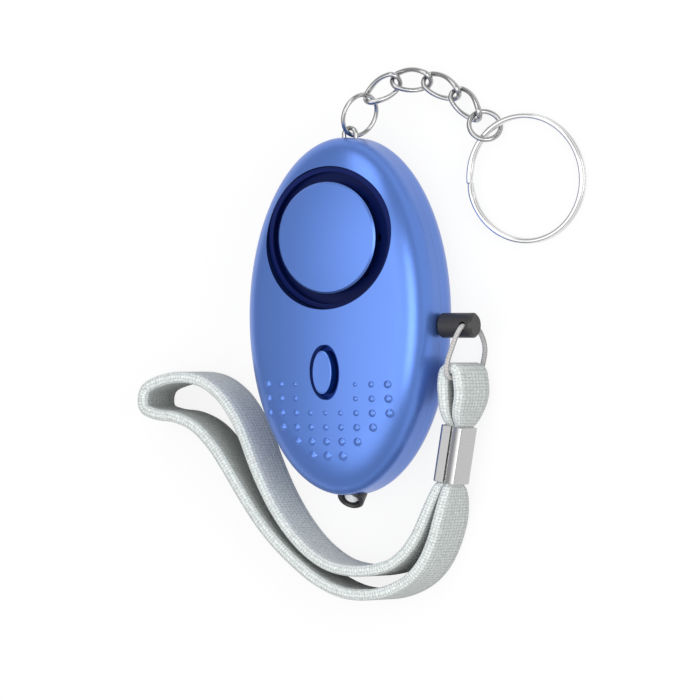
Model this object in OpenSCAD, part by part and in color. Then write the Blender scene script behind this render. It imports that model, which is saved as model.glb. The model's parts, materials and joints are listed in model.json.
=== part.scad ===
/* [Case] */
// Height of the case, from the chain end to the lamp end
case_h = 60; // [57:0.5:68]
// Width of the case, across to the pull pin
case_w = 35; // [34:0.5:40]
// Room in front of the cells for a lead and the domed shell
front_room = 3.2; // [3:0.1:4.2]
// Room behind the cells for the battery door
rear_room = 2.2; // [2:0.1:3.2]
// Straight band of the edge on each side of the parting plane
edge_band = 2; // [1.7:0.1:2.3]
// Rise of the crown above the rounded shoulder
front_crown = 1.2; // [1:0.05:1.4]
// Wall of both shells
wall = 1.6; // [1.2:0.1:1.8]

/* [Sounder] */
// Distance of the sounder's axis above the middle of the case
speaker_y = 13.1; // [12.5:0.1:13.5]
// Diameter of the sounder's opening in the front
speaker_d = 24; // [22:0.5:24.5]
// Diameter of the round cover over the sounder
cover_d = 18.7; // [16:0.1:20]
// Thickness of the round cover
cover_t = 1.4; // [1:0.1:1.8]
// Depth of the cover's face below the crown of the front
cover_drop = 0.95; // [0.5:0.05:1.5]
// Rise of the cover's domed face above its edge
cover_crown = 0.7; // [0.4:0.05:0.9]
// Depth of the dark groove below the cover's face
groove_depth = 2.9; // [2.5:0.1:3.2]
// Diameter of the brass sounder plate
piezo_d = 21.6; // [21:0.1:23]
// Diameter of the ceramic disc on the sounder plate
ceramic_d = 14; // [10:0.5:16]

/* [Torch] */
// Distance of the torch button above the lamp end of the case
button_up = 20.6; // [20:0.1:21]
// Width of the button's oval opening
button_w = 5.6; // [5:0.1:6]
// Length of the button's oval opening
button_l = 9.2; // [8:0.1:10]
// Gap between the button and its opening
button_gap = 1; // [0.8:0.05:1.1]
// Height of the button's top above the front
button_proud = 0.8; // [0.5:0.1:1.2]
// Diameter of the torch lamp
lamp_d = 3; // [2.6:0.1:3.2]
// Tilt of the lamp from the case's long axis towards the front
lamp_tilt = 40; // [35:1:45]

/* [Grip dots] */
// Distance of the first row of dots below the middle of the button
dot_drop = 2; // [1.6:0.1:2.6]
// Spacing of the columns of dots
dot_pitch_x = 2.9; // [2.4:0.1:3]
// Spacing of the rows of dots
dot_pitch_y = 2.4; // [2:0.1:2.4]
// Height of the largest dots
dot_h = 0.42; // [0.3:0.01:0.5]

/* [Pull pin] */
// Distance of the pin's axis below the middle of the case
pin_drop = 1.55; // [1:0.05:2]
// Diameter of the pin's head
pin_head_d = 4.2; // [3.8:0.1:4.6]
// Length of the head outside the case
pin_out = 6.7; // [6:0.1:8]
// Diameter of the pin's shank
pin_shank_d = 2.6; // [2.2:0.1:2.8]
// Diameter of the cord's hole through the head
pin_eye_d = 1.2; // [1:0.1:1.4]

/* [Button cells] */
// Diameter of a button cell
cell_d = 11.6; // [11:0.1:11.8]
// Thickness of a button cell
cell_t = 5.4; // [5:0.1:5.5]
// Distance of the cells' axis above the lamp end of the case
cell_up = 12; // [11.8:0.1:12.2]

/* [Chain and ring] */
// Wire of the eyelet that is moulded into the case
eyelet_wire = 0.8; // [0.7:0.05:0.9]
// Outside diameter of the first ring
jump_d = 7.95; // [7.5:0.05:8.5]
// Wire of the first ring
jump_wire = 0.75; // [0.6:0.05:0.8]
// Outside length of a chain link
link_l = 7.4; // [7.2:0.1:8]
// Outside width of a chain link
link_w = 4.3; // [4.2:0.1:4.6]
// Wire of the chain links
link_wire = 0.86; // [0.75:0.01:0.9]
// Outside diameter of the last ring of the chain
end_d = 6.2; // [6:0.1:6.6]
// Outside diameter of the key ring
key_d = 21.8; // [20:0.1:25]
// Wire of the key ring's two turns
key_wire = 0.9; // [0.8:0.05:1]

/* [Wrist strap] */
// Thickness of the webbing
strap_t = 1.5; // [1.2:0.1:1.5]
// Diameter of the cord between pin and strap
cord_d = 0.84; // [0.7:0.02:0.9]
// Length of the metal clamp along the strap
crimp_l = 9.6; // [8:0.1:11]
// Sheet thickness of the metal clamp
crimp_wall = 0.4; // [0.3:0.05:0.6]

/* [Fits] */
// Clearance between pieces that are fitted to each other
fit = 0.1; // [0.05:0.01:0.12]
// Clearance round pieces that move
run = 0.1; // [0.06:0.01:0.15]

/* [Hidden] */
$fn = 64;
half_w = case_w/2;
half_h = case_h/2;
cell_r = cell_d/2;
front_rise = cell_r + front_room;
rear_depth = cell_r + rear_room;
z_split = rear_depth;
z_front = rear_depth + front_rise;
pin_y = -pin_drop;
button_y = button_up - half_h;
cell_y = cell_up - half_h;

// Radius of the largest grip dots, which are the ones far from the button
dot_r = 0.75;

// Alignment lip of the rear shell
lip_t = 0.8;
lip_up = 1.2;
lip_down = 1.55;

// Sounder, from the cover down to the sounder plate
speaker_r = speaker_d/2;
well_wall = 1;
well_z = z_split + lip_up + 0.2;
cover_top = z_front - cover_drop;
groove_z = cover_top - groove_depth;
cup_r = speaker_r - fit;
cup_wall = 0.8;
cup_floor = 0.8;
cup_skirt = 1.6;
chamber_h = 3;
cup_sunk = 0.4;
cup_top = surface_z(0, speaker_y + speaker_r, 0) - cup_sunk;
post_r = 2;
collar_r = 3;
slot_count = 8;
slot_w = 1.2;
slot_l = 3.4;
slot_r = 7.2;
piezo_t = 0.25;
ceramic_t = 0.2;
piezo_top = groove_z - cup_floor - chamber_h;
piezo_z = piezo_top - piezo_t;
seat_w = 1.8;
seat_t = 0.6;
seat_r = cup_r - 0.3;
foot_r = 1;

// Circuit board and what it carries
board_t = 1;
board_top = z_split - 2;
board_z = board_top - board_t;
board_edge = 1.2;
board_end = cell_y + cell_d/2 + 0.2;
board_sides = 48;
board_posts = [[-9, 17], [9, 17], [-10, -1]];
board_post_r = 1.6;
chip_at = [-4.6, 9];
chip_size = [5, 4, 1.5];
coil_at = [4.6, 12.6];
coil_r = 3;
coil_h = 2.2;
small_parts = [[-1.5, 3], [2.5, 3], [6, 5.5], [-7.5, 3.5], [-3, 18], [-8.8, -4.5]];
small_size = [2, 1.25, 0.9];

// Torch button and its switch
tact_w = 4.5;
tact_h = 3.5;
tact_bore = 1.1;
plunger_r = 1;
plunger_up = 1.5;
plunger_in = 0.9;
bore_in = 1.6;
play = 0.05;
stem_r = 1.3;
flange_t = 0.8;
flange_out = 0.8;
cap_w = button_w/2 - button_gap;
cap_l = button_l/2 - button_gap;
cap_top = surface_z(0, button_y, 0) + button_proud;
flange_w = button_w/2 + flange_out;
flange_l = button_l/2 + flange_out;
flange_top = surface_z(0, button_y - flange_l, wall) - fit;
flange_z = flange_top - flange_t;
plunger_top = board_top + tact_h + plunger_up;

// Button cells, contacts and battery door
cell_z = z_split - 0.3;
cell_gap = 0.05;
cell_pitch = cell_t + cell_gap;
stack_end = 1.5*cell_pitch;
contact_t = 0.3;
contact_w = 8;
contact_hook = 1.4;
end_wall = 1.2;
end_wall_w = 7;
lip_break = stack_end + fit + contact_hook + 0.3;
door_w = 2*stack_end + 0.5;
door_top = cell_y + cell_d/2 + 0.3;
door_low = cell_y - cell_d/2 - 0.3;
door_corner = 1.5;
tab_w = 6;
tab_l = 4.3;
door_screw_y = door_top + 2.3;
bridge_w = 10;
bridge_up = 3;
tongue_w = 4.4;
tongue_t = 0.7;
tongue_lift = 1.3;
tongue_in = 1.3;
tongue_out = 0.9;

// Screws
boss_in = 5.5;
boss_at = [half_w - boss_in, -9];
boss_r = 2.5;
front_boss_r = 2.3;
screw_r = 0.95;
screw_hole_r = 1.15;
head_r = 1.9;
head_h = 1.3;
head_seat = 2.4;
screw_reach = 4.6;
door_screw_r = 0.8;
door_head_r = 1.7;
door_head_h = 0.7;
door_seat = 0.9;
door_reach = 2.6;
drive_w = 0.5;
drive_d = 0.5;

// Pull pin, its guide and its switch
pin_r = pin_head_d/2;
shank_r = pin_shank_d/2;
pin_end = half_w + pin_out;
pin_eye_x = pin_end - 1.5;
pin_gap = 0.15;
pin_tip = 6.3;
guide_r = 3;
guide_x0 = 8.4;
guide_x1 = half_w - wall - lip_t - run - 0.4;
rib_t = 1;
rib_w = 7.2;
rib_x = [guide_x0 + 1, guide_x1 - 2];
leaf_t = 0.3;
leaf_h = 4.6;
leaf_w = 4.4;
leaf_x = pin_tip - fit - leaf_t;
leaf_lift = 0.1;
fork_x = guide_x0 - 0.7;
fork_h = 5.2;
fork_w = 5.2;

// Torch lamp at the lower end
lamp_r = lamp_d/2;
bezel_r = lamp_r + 0.8;
bezel_sleeve_r = lamp_r + 0.32;
bezel_face = 3;
bezel_back = 0.6;
bezel_tail = 2.2;
bezel_at = [0, -half_h + 1.3, z_split - 1.93];
leg_r = 0.25;
leg_x = 0.64;
leg_l = 1.2;

// Chain: first ring, four twisted links and a last ring, from the eyelet out
chain_gap = 0.1;
link_sides = 8;
link_rings = 32;
twist = 45;
eyelet_half = 1.15;
eyelet_y = half_h + 0.5;
eyelet_in = wall + (run + lip_t)*half_h/half_w + eyelet_wire + 0.8;
eyelet_foot = 1.5;
jump_seat = [0, half_h + 0.62, z_split];
jump_aim = [66, -13];
jump_roll = -72;
link_aim = [[35, -17], [0, -15], [-25, -10], [-43, 0]];
end_aim = [-50, 0];
end_roll = 45;
key_aim = [-50, -4];
link_r = link_wire/2;
jump_r = jump_wire/2;
jump_mid = jump_d/2 - jump_r;
end_mid = end_d/2 - link_r;
key_mid = (key_d - key_wire)/2;
key_step = 0.8;
jump_far = jump_seat + 2*jump_mid*aim(jump_aim);
link_span = link_l - link_wire;
link_from = [for (i = [0:3]) link_start(i)];
link_mid = [for (i = [0:3]) link_from[i] + link_span/2*aim(link_aim[i])];
link_to = [for (i = [0:3]) link_from[i] + link_span*aim(link_aim[i])];
end_from = follow(link_to[3], link_aim[3], end_aim, link_wire);
end_to = end_from + 2*end_mid*aim(end_aim);
key_from = follow(end_to, end_aim, key_aim, link_r + (key_wire + key_step)/2 + chain_gap);

// Cord loop from the pin's eye through the small loop of the strap and back
cord_sides = 8;
cord_steps = 4;
eye = [pin_eye_x, pin_y, z_split];
cord_points = [
  eye, eye + [0, 0, 1.2], eye + [0, -0.05, 2.5], [22.2, -2.3, 11.2], [21.3, -4.4, 11.8], [20.6, -6.8, 12.05],
  [20.6, -8.9, 12.1], [20.72, -10.05, 11.3], [20.75, -10.3, 9.3], [20.75, -10.3, 6], [20.75, -10.3, 2.9],
  [20.85, -9.95, 0.95], [21.25, -8.8, 0.58], [22, -7.2, 0.7], [22.6, -5.6, 1.3], [22.9, -3.9, 2.4],
  eye + [0.1, -0.6, -3.6], eye + [0, -0.05, -2.3], eye + [0, 0, -0.4]
];

// Webbing of the wrist strap, as points of x, y, middle height and width, from the clamp round to the clamp
strap_steps = 4;
strap_w = 10;
pinch_w = 4.6;
strap_points = [
  [18.33, -22.87, 5.9, pinch_w], [18.73, -20.51, 5.9, pinch_w], [19.14, -18.14, 5.9, pinch_w],
  [19.2, -15.9, 6, 8.2], [19.25, -13.5, 6.1, 9.8],
  [19.3, -10.6, 6.2, strap_w], [19.7, -9.25, 6.2, strap_w], [20.75, -8.7, 6.2, strap_w], [21.8, -9.25, 6.2, strap_w],
  [22.2, -10.6, 6.2, strap_w], [22.3, -13.2, 6.1, 9.8], [21.5, -16, 6, 8.2], [20.68, -18.4, 5.9, pinch_w],
  [19.85, -23.23, 5.9, pinch_w], [19.02, -28.06, 5.9, pinch_w], [18.5, -31, 5.5, 8.2], [17.6, -34.6, 5.2, strap_w],
  [16.4, -38.2, 5.2, strap_w], [14.6, -41.5, 5.2, strap_w], [12, -44.1, 5.2, strap_w], [8.4, -45.9, 5.2, strap_w],
  [4.4, -46.7, 5.2, strap_w], [-0.6, -46.4, 5.2, strap_w], [-5.6, -44.4, 5.2, strap_w], [-10, -41.3, 5.2, strap_w],
  [-14, -37.8, 5.2, strap_w], [-17.4, -34, 5.2, strap_w], [-20.6, -29.6, 5.2, strap_w], [-23.4, -25.5, 5.2, strap_w],
  [-26.2, -21.8, 5.2, strap_w], [-29.6, -18.7, 5.2, strap_w], [-33.4, -17.1, 5.2, strap_w], [-37.2, -16.6, 5.2, strap_w],
  [-39.2, -15.6, 5.2, strap_w], [-39.6, -14, 5.2, strap_w], [-38.9, -12.3, 5.2, strap_w], [-36.4, -10.9, 5.2, strap_w],
  [-32.4, -10.3, 5.2, strap_w], [-28.3, -11, 5.2, strap_w], [-24.8, -13.2, 5.2, strap_w], [-22.1, -16.4, 5.2, strap_w],
  [-20, -20.2, 5.2, strap_w], [-18.3, -24.2, 5.2, strap_w], [-16.4, -28.2, 5.2, strap_w], [-14, -32.3, 5.2, strap_w],
  [-11.2, -36, 5.2, strap_w], [-7.8, -39.3, 5.2, strap_w], [-3.6, -41.8, 5.2, strap_w], [0.6, -42.7, 5.2, strap_w],
  [4.6, -42.6, 5.2, strap_w], [8.3, -41.7, 5.2, strap_w], [11, -39.9, 5.2, strap_w], [13, -37.6, 5.2, strap_w],
  [14.5, -35, 5.2, strap_w], [16.1, -31.2, 5.5, 8.2], [17.48, -27.8, 5.9, pinch_w], [17.88, -25.44, 5.9, pinch_w],
  [18.29, -23.07, 5.9, pinch_w]
];
crimp_at = [19.08, -23.1, 5.9];
crimp_lean = -9.7;
crimp_in = [2*strap_t + 0.3, pinch_w + 0.3];
seam_w = 0.5;
seam_x = 0.1;

// Thin leads inside the case
lead_r = 0.3;
lead_steps = 3;
lead_gap = 0.06;
lamp_leads_x = 3.7;
lead_top = cell_z + cell_r + lead_r + 0.12;
lamp_lead_start = bezel_at + turn_x([leg_x + leg_r + lead_r + lead_gap, 0, -bezel_tail - leg_l], 90 - lamp_tilt);
lamp_lead = [
  lamp_lead_start, lamp_lead_start + [0.05, 0.55, 0.55], lamp_lead_start + [0.2, 0.8, 2.2],
  [1.8, -half_h + 4.7, cell_z + 0.7], [2.4, cell_y - cell_r - 0.7, cell_z + 2.9],
  [2.9, cell_y - cell_r + 0.8, cell_z + cell_r - 1.3], [3.3, cell_y - 2.8, lead_top - 0.4], [3.5, cell_y, lead_top],
  [3.6, cell_y + 2.8, lead_top - 0.4], [lamp_leads_x, cell_y + cell_r - 0.8, cell_z + cell_r - 1.5],
  [lamp_leads_x, cell_y + cell_r + 0.6, cell_z + 1.9],
  [lamp_leads_x, board_end + 0.6, board_top + 0.7], [lamp_leads_x, board_end + 0.6, board_top + lead_gap]
];
plate_lead = [
  [-6.5, speaker_y + 5.4, piezo_z - lead_gap], [-6.5, speaker_y + 5.5, piezo_z - 0.8],
  [-6.2, speaker_y + 6.9, board_top + 1], [-6.1, speaker_y + 7.2, board_top + lead_gap]
];
ceramic_lead = [
  [2.2, speaker_y + 3.6, piezo_z - ceramic_t - lead_gap], [2.2, speaker_y + 3.7, piezo_z - 1],
  [2.4, speaker_y + 5.6, board_top + 1], [2.4, speaker_y + 5.9, board_top + lead_gap]
];

// Geometry helpers

function unit(v) = v/norm(v);
function turn_x(v, a) = [v[0], v[1]*cos(a) - v[2]*sin(a), v[1]*sin(a) + v[2]*cos(a)];

// Height of the front's surface over the back, t inside the outer skin
function surface_z(x, y, t) =
  let (hw = half_w - t, rise = front_rise - t, r = norm([x, y*hw/(half_h - t)]))
  let (q = rise - edge_band, fr = q - front_crown, p = hw - fr)
  let (cr = (p*p + q*q - fr*fr)/(2*front_crown), cz = rise - cr, tx = p + fr*p/norm([p, edge_band - cz]))
  z_split + (r < tx ? cz + sqrt(cr*cr - r*r) : edge_band + sqrt(max(0, fr*fr - (r - p)*(r - p))));

// Outward direction of the front's surface
function surface_normal(x, y) =
  let (e = 0.02, z = surface_z(x, y, 0))
  unit([z - surface_z(x + e, y, 0), z - surface_z(x, y + e, 0), e]);

// Direction of a heading and a pitch, and the sideways direction rolled about it
function aim(a) = [cos(a[1])*cos(a[0]), cos(a[1])*sin(a[0]), sin(a[1])];
function right_of(a) = [sin(a[0]), -cos(a[0]), 0];
function side_of(a, roll) = cos(roll)*right_of(a) + sin(roll)*cross(right_of(a), aim(a));

// First wire centre of a link that hangs in the link before it
function follow(end, aim_a, aim_b, step) = end - (step + chain_gap)*unit(aim(aim_a) + aim(aim_b));
function link_start(i) =
  i == 0 ? follow(jump_far, jump_aim, link_aim[0], jump_r + link_r)
  : follow(link_start(i - 1) + link_span*aim(link_aim[i - 1]), link_aim[i - 1], link_aim[i], link_wire);

// Smooth curve through points, with steps stretches between two points
function curve_point(a, b, c, d, t) =
  0.5*(2*b + (c - a)*t + (2*a - 5*b + 4*c - d)*t*t + (3*b - a - 3*c + d)*t*t*t);
function curve(p, steps) =
  let (n = len(p) - 1)
  concat(
    [for (i = [0:n - 1], k = [0:steps - 1])
      curve_point(p[max(i - 1, 0)], p[i], p[i + 1], p[min(i + 2, n)], k/steps)],
    [p[n]]);
function heading_at(p, i) = unit(p[min(i + 1, len(p) - 1)] - p[max(i - 1, 0)]);

// Closed surface through rings of points, open ended with caps or joined into a loop
module skin(rings, loop = false) {
  n = len(rings);
  m = len(rings[0]);
  last = loop ? n - 1 : n - 2;
  sides = [
    for (i = [0:last], j = [0:m - 1])
      let (a = i*m + j, b = i*m + (j + 1)%m, d = ((i + 1)%n)*m + j, c = ((i + 1)%n)*m + (j + 1)%m)
      each [[a, d, c], [a, c, b]]
  ];
  caps = loop ? [] : [[for (j = [0:m - 1]) j], [for (j = [m - 1:-1:0]) (n - 1)*m + j]];
  polyhedron([for (ring = rings) each ring], concat(sides, caps), convexity = 8);
}

module tube(points, r, sides, steps) {
  path = curve(points, steps);
  skin([
    for (i = [0:len(path) - 1])
      let (t = heading_at(path, i), n = unit(cross(t, [1, 0, 0])), b = cross(t, n))
      [for (k = [0:sides - 1]) path[i] + r*(cos(360*k/sides)*n + sin(360*k/sides)*b)]
  ]);
}

// Oval turned form: a profile revolved in two half turns and stretched along the case
module oval(hw, hh) {
  for (k = [0:1])
    scale([1, hh/hw, 1]) rotate([0, 0, 180*k]) rotate_extrude(angle = 180, $fn = 96) children();
}

module front_profile(hw, rise, skirt) {
  q = rise - edge_band;
  fr = q - front_crown;
  p = hw - fr;
  cr = (p*p + q*q - fr*fr)/(2*front_crown);
  cz = rise - cr;
  u = unit([p, edge_band - cz]);
  foot = p*(0 - cz)/(edge_band - cz);
  intersection() {
    translate([0, cz]) circle(cr, $fn = 720);
    polygon([[0, 0], [foot, 0], [p, edge_band] + (fr + 1)*u, [0, rise + 1]]);
  }
  intersection() {
    translate([p, edge_band]) circle(fr, $fn = 96);
    polygon([[p, edge_band], [p + 2*fr, edge_band], [p + 2*fr, edge_band + 2*fr], [p, edge_band] + 2*fr*u]);
  }
  polygon([[foot, 0], [hw, 0], [hw, edge_band], [p, edge_band]]);
  if (skirt > 0) translate([0, -skirt]) square([hw, skirt]);
}

module rear_profile(hw, depth, skirt) {
  r = depth - edge_band;
  square([hw - r, depth]);
  translate([hw - r, 0]) square([r, edge_band]);
  intersection() {
    translate([hw - r, edge_band]) circle(r, $fn = 96);
    translate([hw - r, edge_band]) square([r + 1, r + 1]);
  }
  if (skirt > 0) translate([0, -skirt]) square([hw, skirt]);
}

// Solid front and rear halves, t inside the outer skin
module front_half(t) {
  translate([0, 0, z_split]) oval(half_w - t, half_h - t) front_profile(half_w - t, front_rise - t, t > 0 ? 1 : 0);
}

module rear_half(t) {
  translate([0, 0, z_split]) mirror([0, 0, 1])
    oval(half_w - t, half_h - t) rear_profile(half_w - t, rear_depth - t, t > 0 ? 1 : 0);
}

module at_speaker(z) { translate([0, speaker_y, z]) children(); }
module along_pin(x) { translate([x, pin_y, z_split]) rotate([0, 90, 0]) children(); }
module at_lamp() { translate(bezel_at) rotate([90 - lamp_tilt, 0, 0]) children(); }
module both_sides() { for (s = [-1, 1]) translate([s*boss_at[0], boss_at[1], 0]) children(); }

module rounded(w, l, r) {
  square([w - 2*r, l], center = true);
  square([w, l - 2*r], center = true);
  for (x = [-1, 1], y = [-1, 1]) translate([x*(w/2 - r), y*(l/2 - r)]) circle(r);
}

module ring_of(mid, r) { rotate_extrude($fn = 96) translate([mid, 0]) circle(r, $fn = 32); }

// Puts a ring that lies in the XY plane with its near side at start, heading along +X, on a heading and roll
module hang(start, a, roll, mid) {
  s = side_of(a, roll);
  d = aim(a);
  n = cross(d, s);
  c = start + mid*d;
  multmatrix([[d[0], s[0], n[0], c[0]], [d[1], s[1], n[1], c[1]], [d[2], s[2], n[2], c[2]]]) children();
}

// Openings that both shells share
module end_openings() {
  along_pin(half_w/2) cylinder(r = shank_r + run, h = half_w);
  at_lamp() {
    translate([0, 0, -bezel_tail - 1]) cylinder(r = bezel_sleeve_r + fit, h = bezel_tail + 2);
    translate([0, 0, bezel_back - fit]) cylinder(r = bezel_r + fit, h = 8);
  }
  for (s = [-1, 1])
    translate([s*eyelet_half, half_h - eyelet_in, z_split]) rotate([-90, 0, 0])
      cylinder(r = eyelet_wire/2 + fit/2, h = eyelet_in + 1);
}

// Case pieces

module grip_dots() {
  for (k = [0:5], c = [-4:4])
    if (abs(c) <= (k < 2 ? 4 : 6 - k) && (k > 1 || abs(c) > 1)) {
      x = c*dot_pitch_x;
      y = button_y - dot_drop - k*dot_pitch_y;
      base = dot_r*(0.1 + 0.9*norm([x, y - button_y])/norm([4*dot_pitch_x, dot_drop + 2*dot_pitch_y]));
      h = dot_h*base/dot_r;
      r = (base*base + h*h)/(2*h);
      translate([x, y, surface_z(x, y, 0)] - (r - h)*surface_normal(x, y)) sphere(r, $fn = 24);
    }
}

module front_shell() {
  color("royalblue") difference() {
    union() {
      difference() {
        front_half(0);
        difference() {
          front_half(wall);
          at_speaker(well_z) cylinder(r = speaker_r + well_wall, h = front_rise, $fn = 96);
          both_sides() translate([0, 0, z_split + fit/2]) cylinder(r = front_boss_r, h = front_rise);
        }
      }
      grip_dots();
    }
    at_speaker(0) cylinder(r = speaker_r, h = z_front + 1, $fn = 96);
    translate([0, button_y, z_split]) oval(button_w/2, button_l/2) square([button_w/2, front_rise + 1]);
    both_sides() translate([0, 0, z_split - 1]) cylinder(r = screw_r + fit/2, h = screw_reach + 1.4);
    end_openings();
  }
}

module door_plan(gap) {
  translate([0, (door_top + door_low)/2]) rounded(door_w - 2*gap, door_top - door_low - 2*gap, door_corner);
  translate([0, door_top + tab_l/2 - 2]) rounded(tab_w - 2*gap, tab_l + 4 - 2*gap, door_corner);
}

module door_bridge(sink) {
  translate([-bridge_w/2, door_screw_y - 2, wall - sink]) cube([bridge_w, 4.7, bridge_up + sink]);
}

module rear_posts() {
  for (p = board_posts) translate([p[0], p[1], 0]) cylinder(r = board_post_r, h = board_z);
  both_sides() cylinder(r = boss_r, h = z_split - fit/2);
  for (s = [-1, 1])
    translate([s*(stack_end + fit + contact_t + end_wall/2 + 0.05), cell_y, cell_z/2])
      cube([end_wall, end_wall_w, cell_z], center = true);
  for (x = rib_x) translate([x, pin_y - rib_w/2, 0]) cube([rib_t, rib_w, z_split]);
  door_bridge(wall/2);
}

module lip() {
  difference() {
    translate([0, 0, z_split]) oval(half_w - wall, half_h - wall) {
      translate([half_w - wall - run - lip_t, -lip_down]) square([lip_t, lip_down + lip_up]);
      translate([half_w - wall - run - lip_t, -lip_down]) square([lip_t + run + 0.3, lip_down]);
    }
    translate([0, cell_y, z_split]) cube([2*lip_break, cell_d + 1, 6], center = true);
    both_sides() translate([0, 0, z_split - fit/2]) cylinder(r = front_boss_r + run, h = lip_up + 1);
    at_speaker(z_split - lip_down - 1) cylinder(r = speaker_r, h = lip_down + lip_up + 2, $fn = 96);
  }
}

module rear_shell() {
  color("royalblue") difference() {
    union() {
      difference() {
        rear_half(0);
        difference() {
          rear_half(wall);
          rear_posts();
        }
      }
      lip();
    }
    difference() {
      translate([0, 0, -1]) linear_extrude(cell_z - 1) door_plan(0);
      door_bridge(0);
    }
    both_sides() {
      translate([0, 0, -1]) cylinder(r = screw_hole_r, h = z_split + 2);
      translate([0, 0, -1]) cylinder(r = head_r + fit, h = head_seat + 1);
    }
    translate([0, door_screw_y, 0]) cylinder(r = door_screw_r + fit/2, h = wall + bridge_up + 1);
    along_pin(guide_x0 - 1) cylinder(r = guide_r + fit/2, h = half_w - wall - lip_t - guide_x0);
    end_openings();
  }
}

module battery_door() {
  color("royalblue") difference() {
    union() {
      intersection() {
        difference() {
          rear_half(0);
          rear_half(wall);
        }
        translate([0, 0, -1]) linear_extrude(cell_z - 1) door_plan(run);
      }
      translate([-tongue_w/2, door_low + run, wall - 0.3]) cube([tongue_w, tongue_in, tongue_lift + tongue_t + 0.3]);
      translate([-tongue_w/2, door_low + run - tongue_out, wall + tongue_lift])
        cube([tongue_w, tongue_in + tongue_out, tongue_t]);
    }
    translate([0, door_screw_y, -1]) cylinder(r = door_screw_r + fit, h = wall + 2);
    translate([0, door_screw_y, -1]) cylinder(r = door_head_r + fit, h = door_seat + 1);
  }
}

module screw(head, head_up, shank, reach) {
  difference() {
    translate([0, 0, -head_up]) cylinder(r = head, h = head_up);
    for (a = [0, 90]) rotate([0, 0, a])
      translate([-head*0.7, -drive_w/2, -head_up - 1]) cube([head*1.4, drive_w, drive_d + 1]);
  }
  translate([0, 0, -0.1]) cylinder(r = shank, h = reach - shank + 0.1);
  translate([0, 0, reach - shank]) cylinder(r1 = shank, r2 = shank*0.3, h = shank);
}

module shell_screws() {
  color("silver") both_sides()
    translate([0, 0, head_seat]) screw(head_r, head_h, screw_r, z_split - head_seat + screw_reach);
}

module door_screw() {
  color("silver") translate([0, door_screw_y, door_seat])
    screw(door_head_r, door_head_h, door_screw_r, wall - door_seat + door_reach);
}

// Sounder pieces

module sounder_cup() {
  color("midnightblue") at_speaker(0) difference() {
    rotate_extrude($fn = 96) polygon([
      [post_r + fit, groove_z - cup_floor], [cup_r - cup_skirt, groove_z - cup_floor],
      [cup_r - cup_skirt, piezo_top], [cup_r, piezo_top], [cup_r, cup_top], [cup_r - cup_wall, cup_top],
      [cup_r - cup_wall, groove_z], [post_r + fit, groove_z]
    ]);
    for (k = [0:slot_count - 1]) rotate([0, 0, 360*k/slot_count])
      translate([slot_r - slot_l/2, -slot_w/2, groove_z - cup_floor - 1]) cube([slot_l, slot_w, cup_floor + 2]);
  }
}

module sounder_cover() {
  edge = 0.3;
  rim = cover_d/2 - edge;
  dome_r = (rim*rim + cover_crown*cover_crown)/(2*cover_crown);
  color("cornflowerblue") at_speaker(0) intersection() {
    rotate_extrude($fn = 96) polygon([
      [0, groove_z - cup_floor], [post_r, groove_z - cup_floor], [post_r, groove_z], [collar_r, groove_z],
      [collar_r, cover_top - cover_t], [cover_d/2, cover_top - cover_t], [cover_d/2, cover_top - edge],
      [rim - edge, cover_top + edge], [rim - edge, cover_top + 2], [0, cover_top + 2]
    ]);
    translate([0, 0, cover_top + cover_crown - dome_r]) sphere(dome_r, $fn = 180);
  }
}

module piezo_plate() { color("goldenrod") at_speaker(piezo_z) cylinder(r = piezo_d/2, h = piezo_t, $fn = 96); }

module piezo_ceramic() {
  color("gainsboro") at_speaker(piezo_z - ceramic_t) cylinder(r = ceramic_d/2, h = ceramic_t, $fn = 96);
}

module piezo_seat() {
  low = piezo_z - seat_t;
  color("dimgray") at_speaker(0) {
    difference() {
      translate([0, 0, low]) cylinder(r = seat_r, h = seat_t, $fn = 96);
      translate([0, 0, low - 1]) cylinder(r = seat_r - seat_w, h = seat_t + 2, $fn = 96);
    }
    for (a = [70, 110, 210, 330]) rotate([0, 0, a]) translate([seat_r - seat_w/2, 0, board_top])
      cylinder(r = foot_r*0.85, h = low - board_top + 0.1);
  }
}

// Circuit board pieces

module circuit_board() {
  w = half_w - wall - board_edge;
  h = half_h - wall - board_edge;
  color("seagreen") difference() {
    translate([0, 0, board_z]) linear_extrude(board_t) intersection() {
      polygon([for (k = [0:board_sides - 1]) [w*cos(360*k/board_sides), h*sin(360*k/board_sides)]]);
      translate([-w, board_end]) square([2*w, 2*h]);
    }
    translate([fork_x + leaf_t + 0.2, pin_y - rib_w/2 - 0.3, board_z - 1]) cube([half_w, rib_w + 0.6, board_t + 2]);
    both_sides() translate([0, 0, board_z - 1]) cylinder(r = boss_r + 0.3, h = board_t + 2);
  }
}

module driver_chip() {
  pins = 4;
  color("black") translate([chip_at[0], chip_at[1], board_top]) {
    translate([-chip_size[0]/2, -chip_size[1]/2, 0]) cube(chip_size);
    for (k = [0:pins - 1], s = [-1, 1])
      translate([(k - (pins - 1)/2)*1.27 - 0.2, s > 0 ? chip_size[1]/2 - 0.1 : -chip_size[1]/2 - 0.9, 0])
        cube([0.4, 1, 0.35]);
  }
}

module boost_coil() {
  color("saddlebrown") translate([coil_at[0], coil_at[1], board_top]) rotate_extrude() polygon([
    [0, 0], [coil_r, 0], [coil_r, 0.4], [coil_r*0.8, 0.4], [coil_r*0.8, coil_h - 0.4], [coil_r, coil_h - 0.4],
    [coil_r, coil_h], [0, coil_h]
  ]);
}

module board_parts() {
  color("tan") for (p = small_parts)
    translate([p[0] - small_size[0]/2, p[1] - small_size[1]/2, board_top]) cube(small_size);
}

module tact_switch() {
  color("darkslategray") translate([0, button_y, board_top]) difference() {
    translate([-tact_w/2, -tact_w/2, 0]) cube([tact_w, tact_w, tact_h]);
    translate([0, 0, tact_h - bore_in]) cylinder(r = tact_bore, h = bore_in + 1);
  }
}

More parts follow.
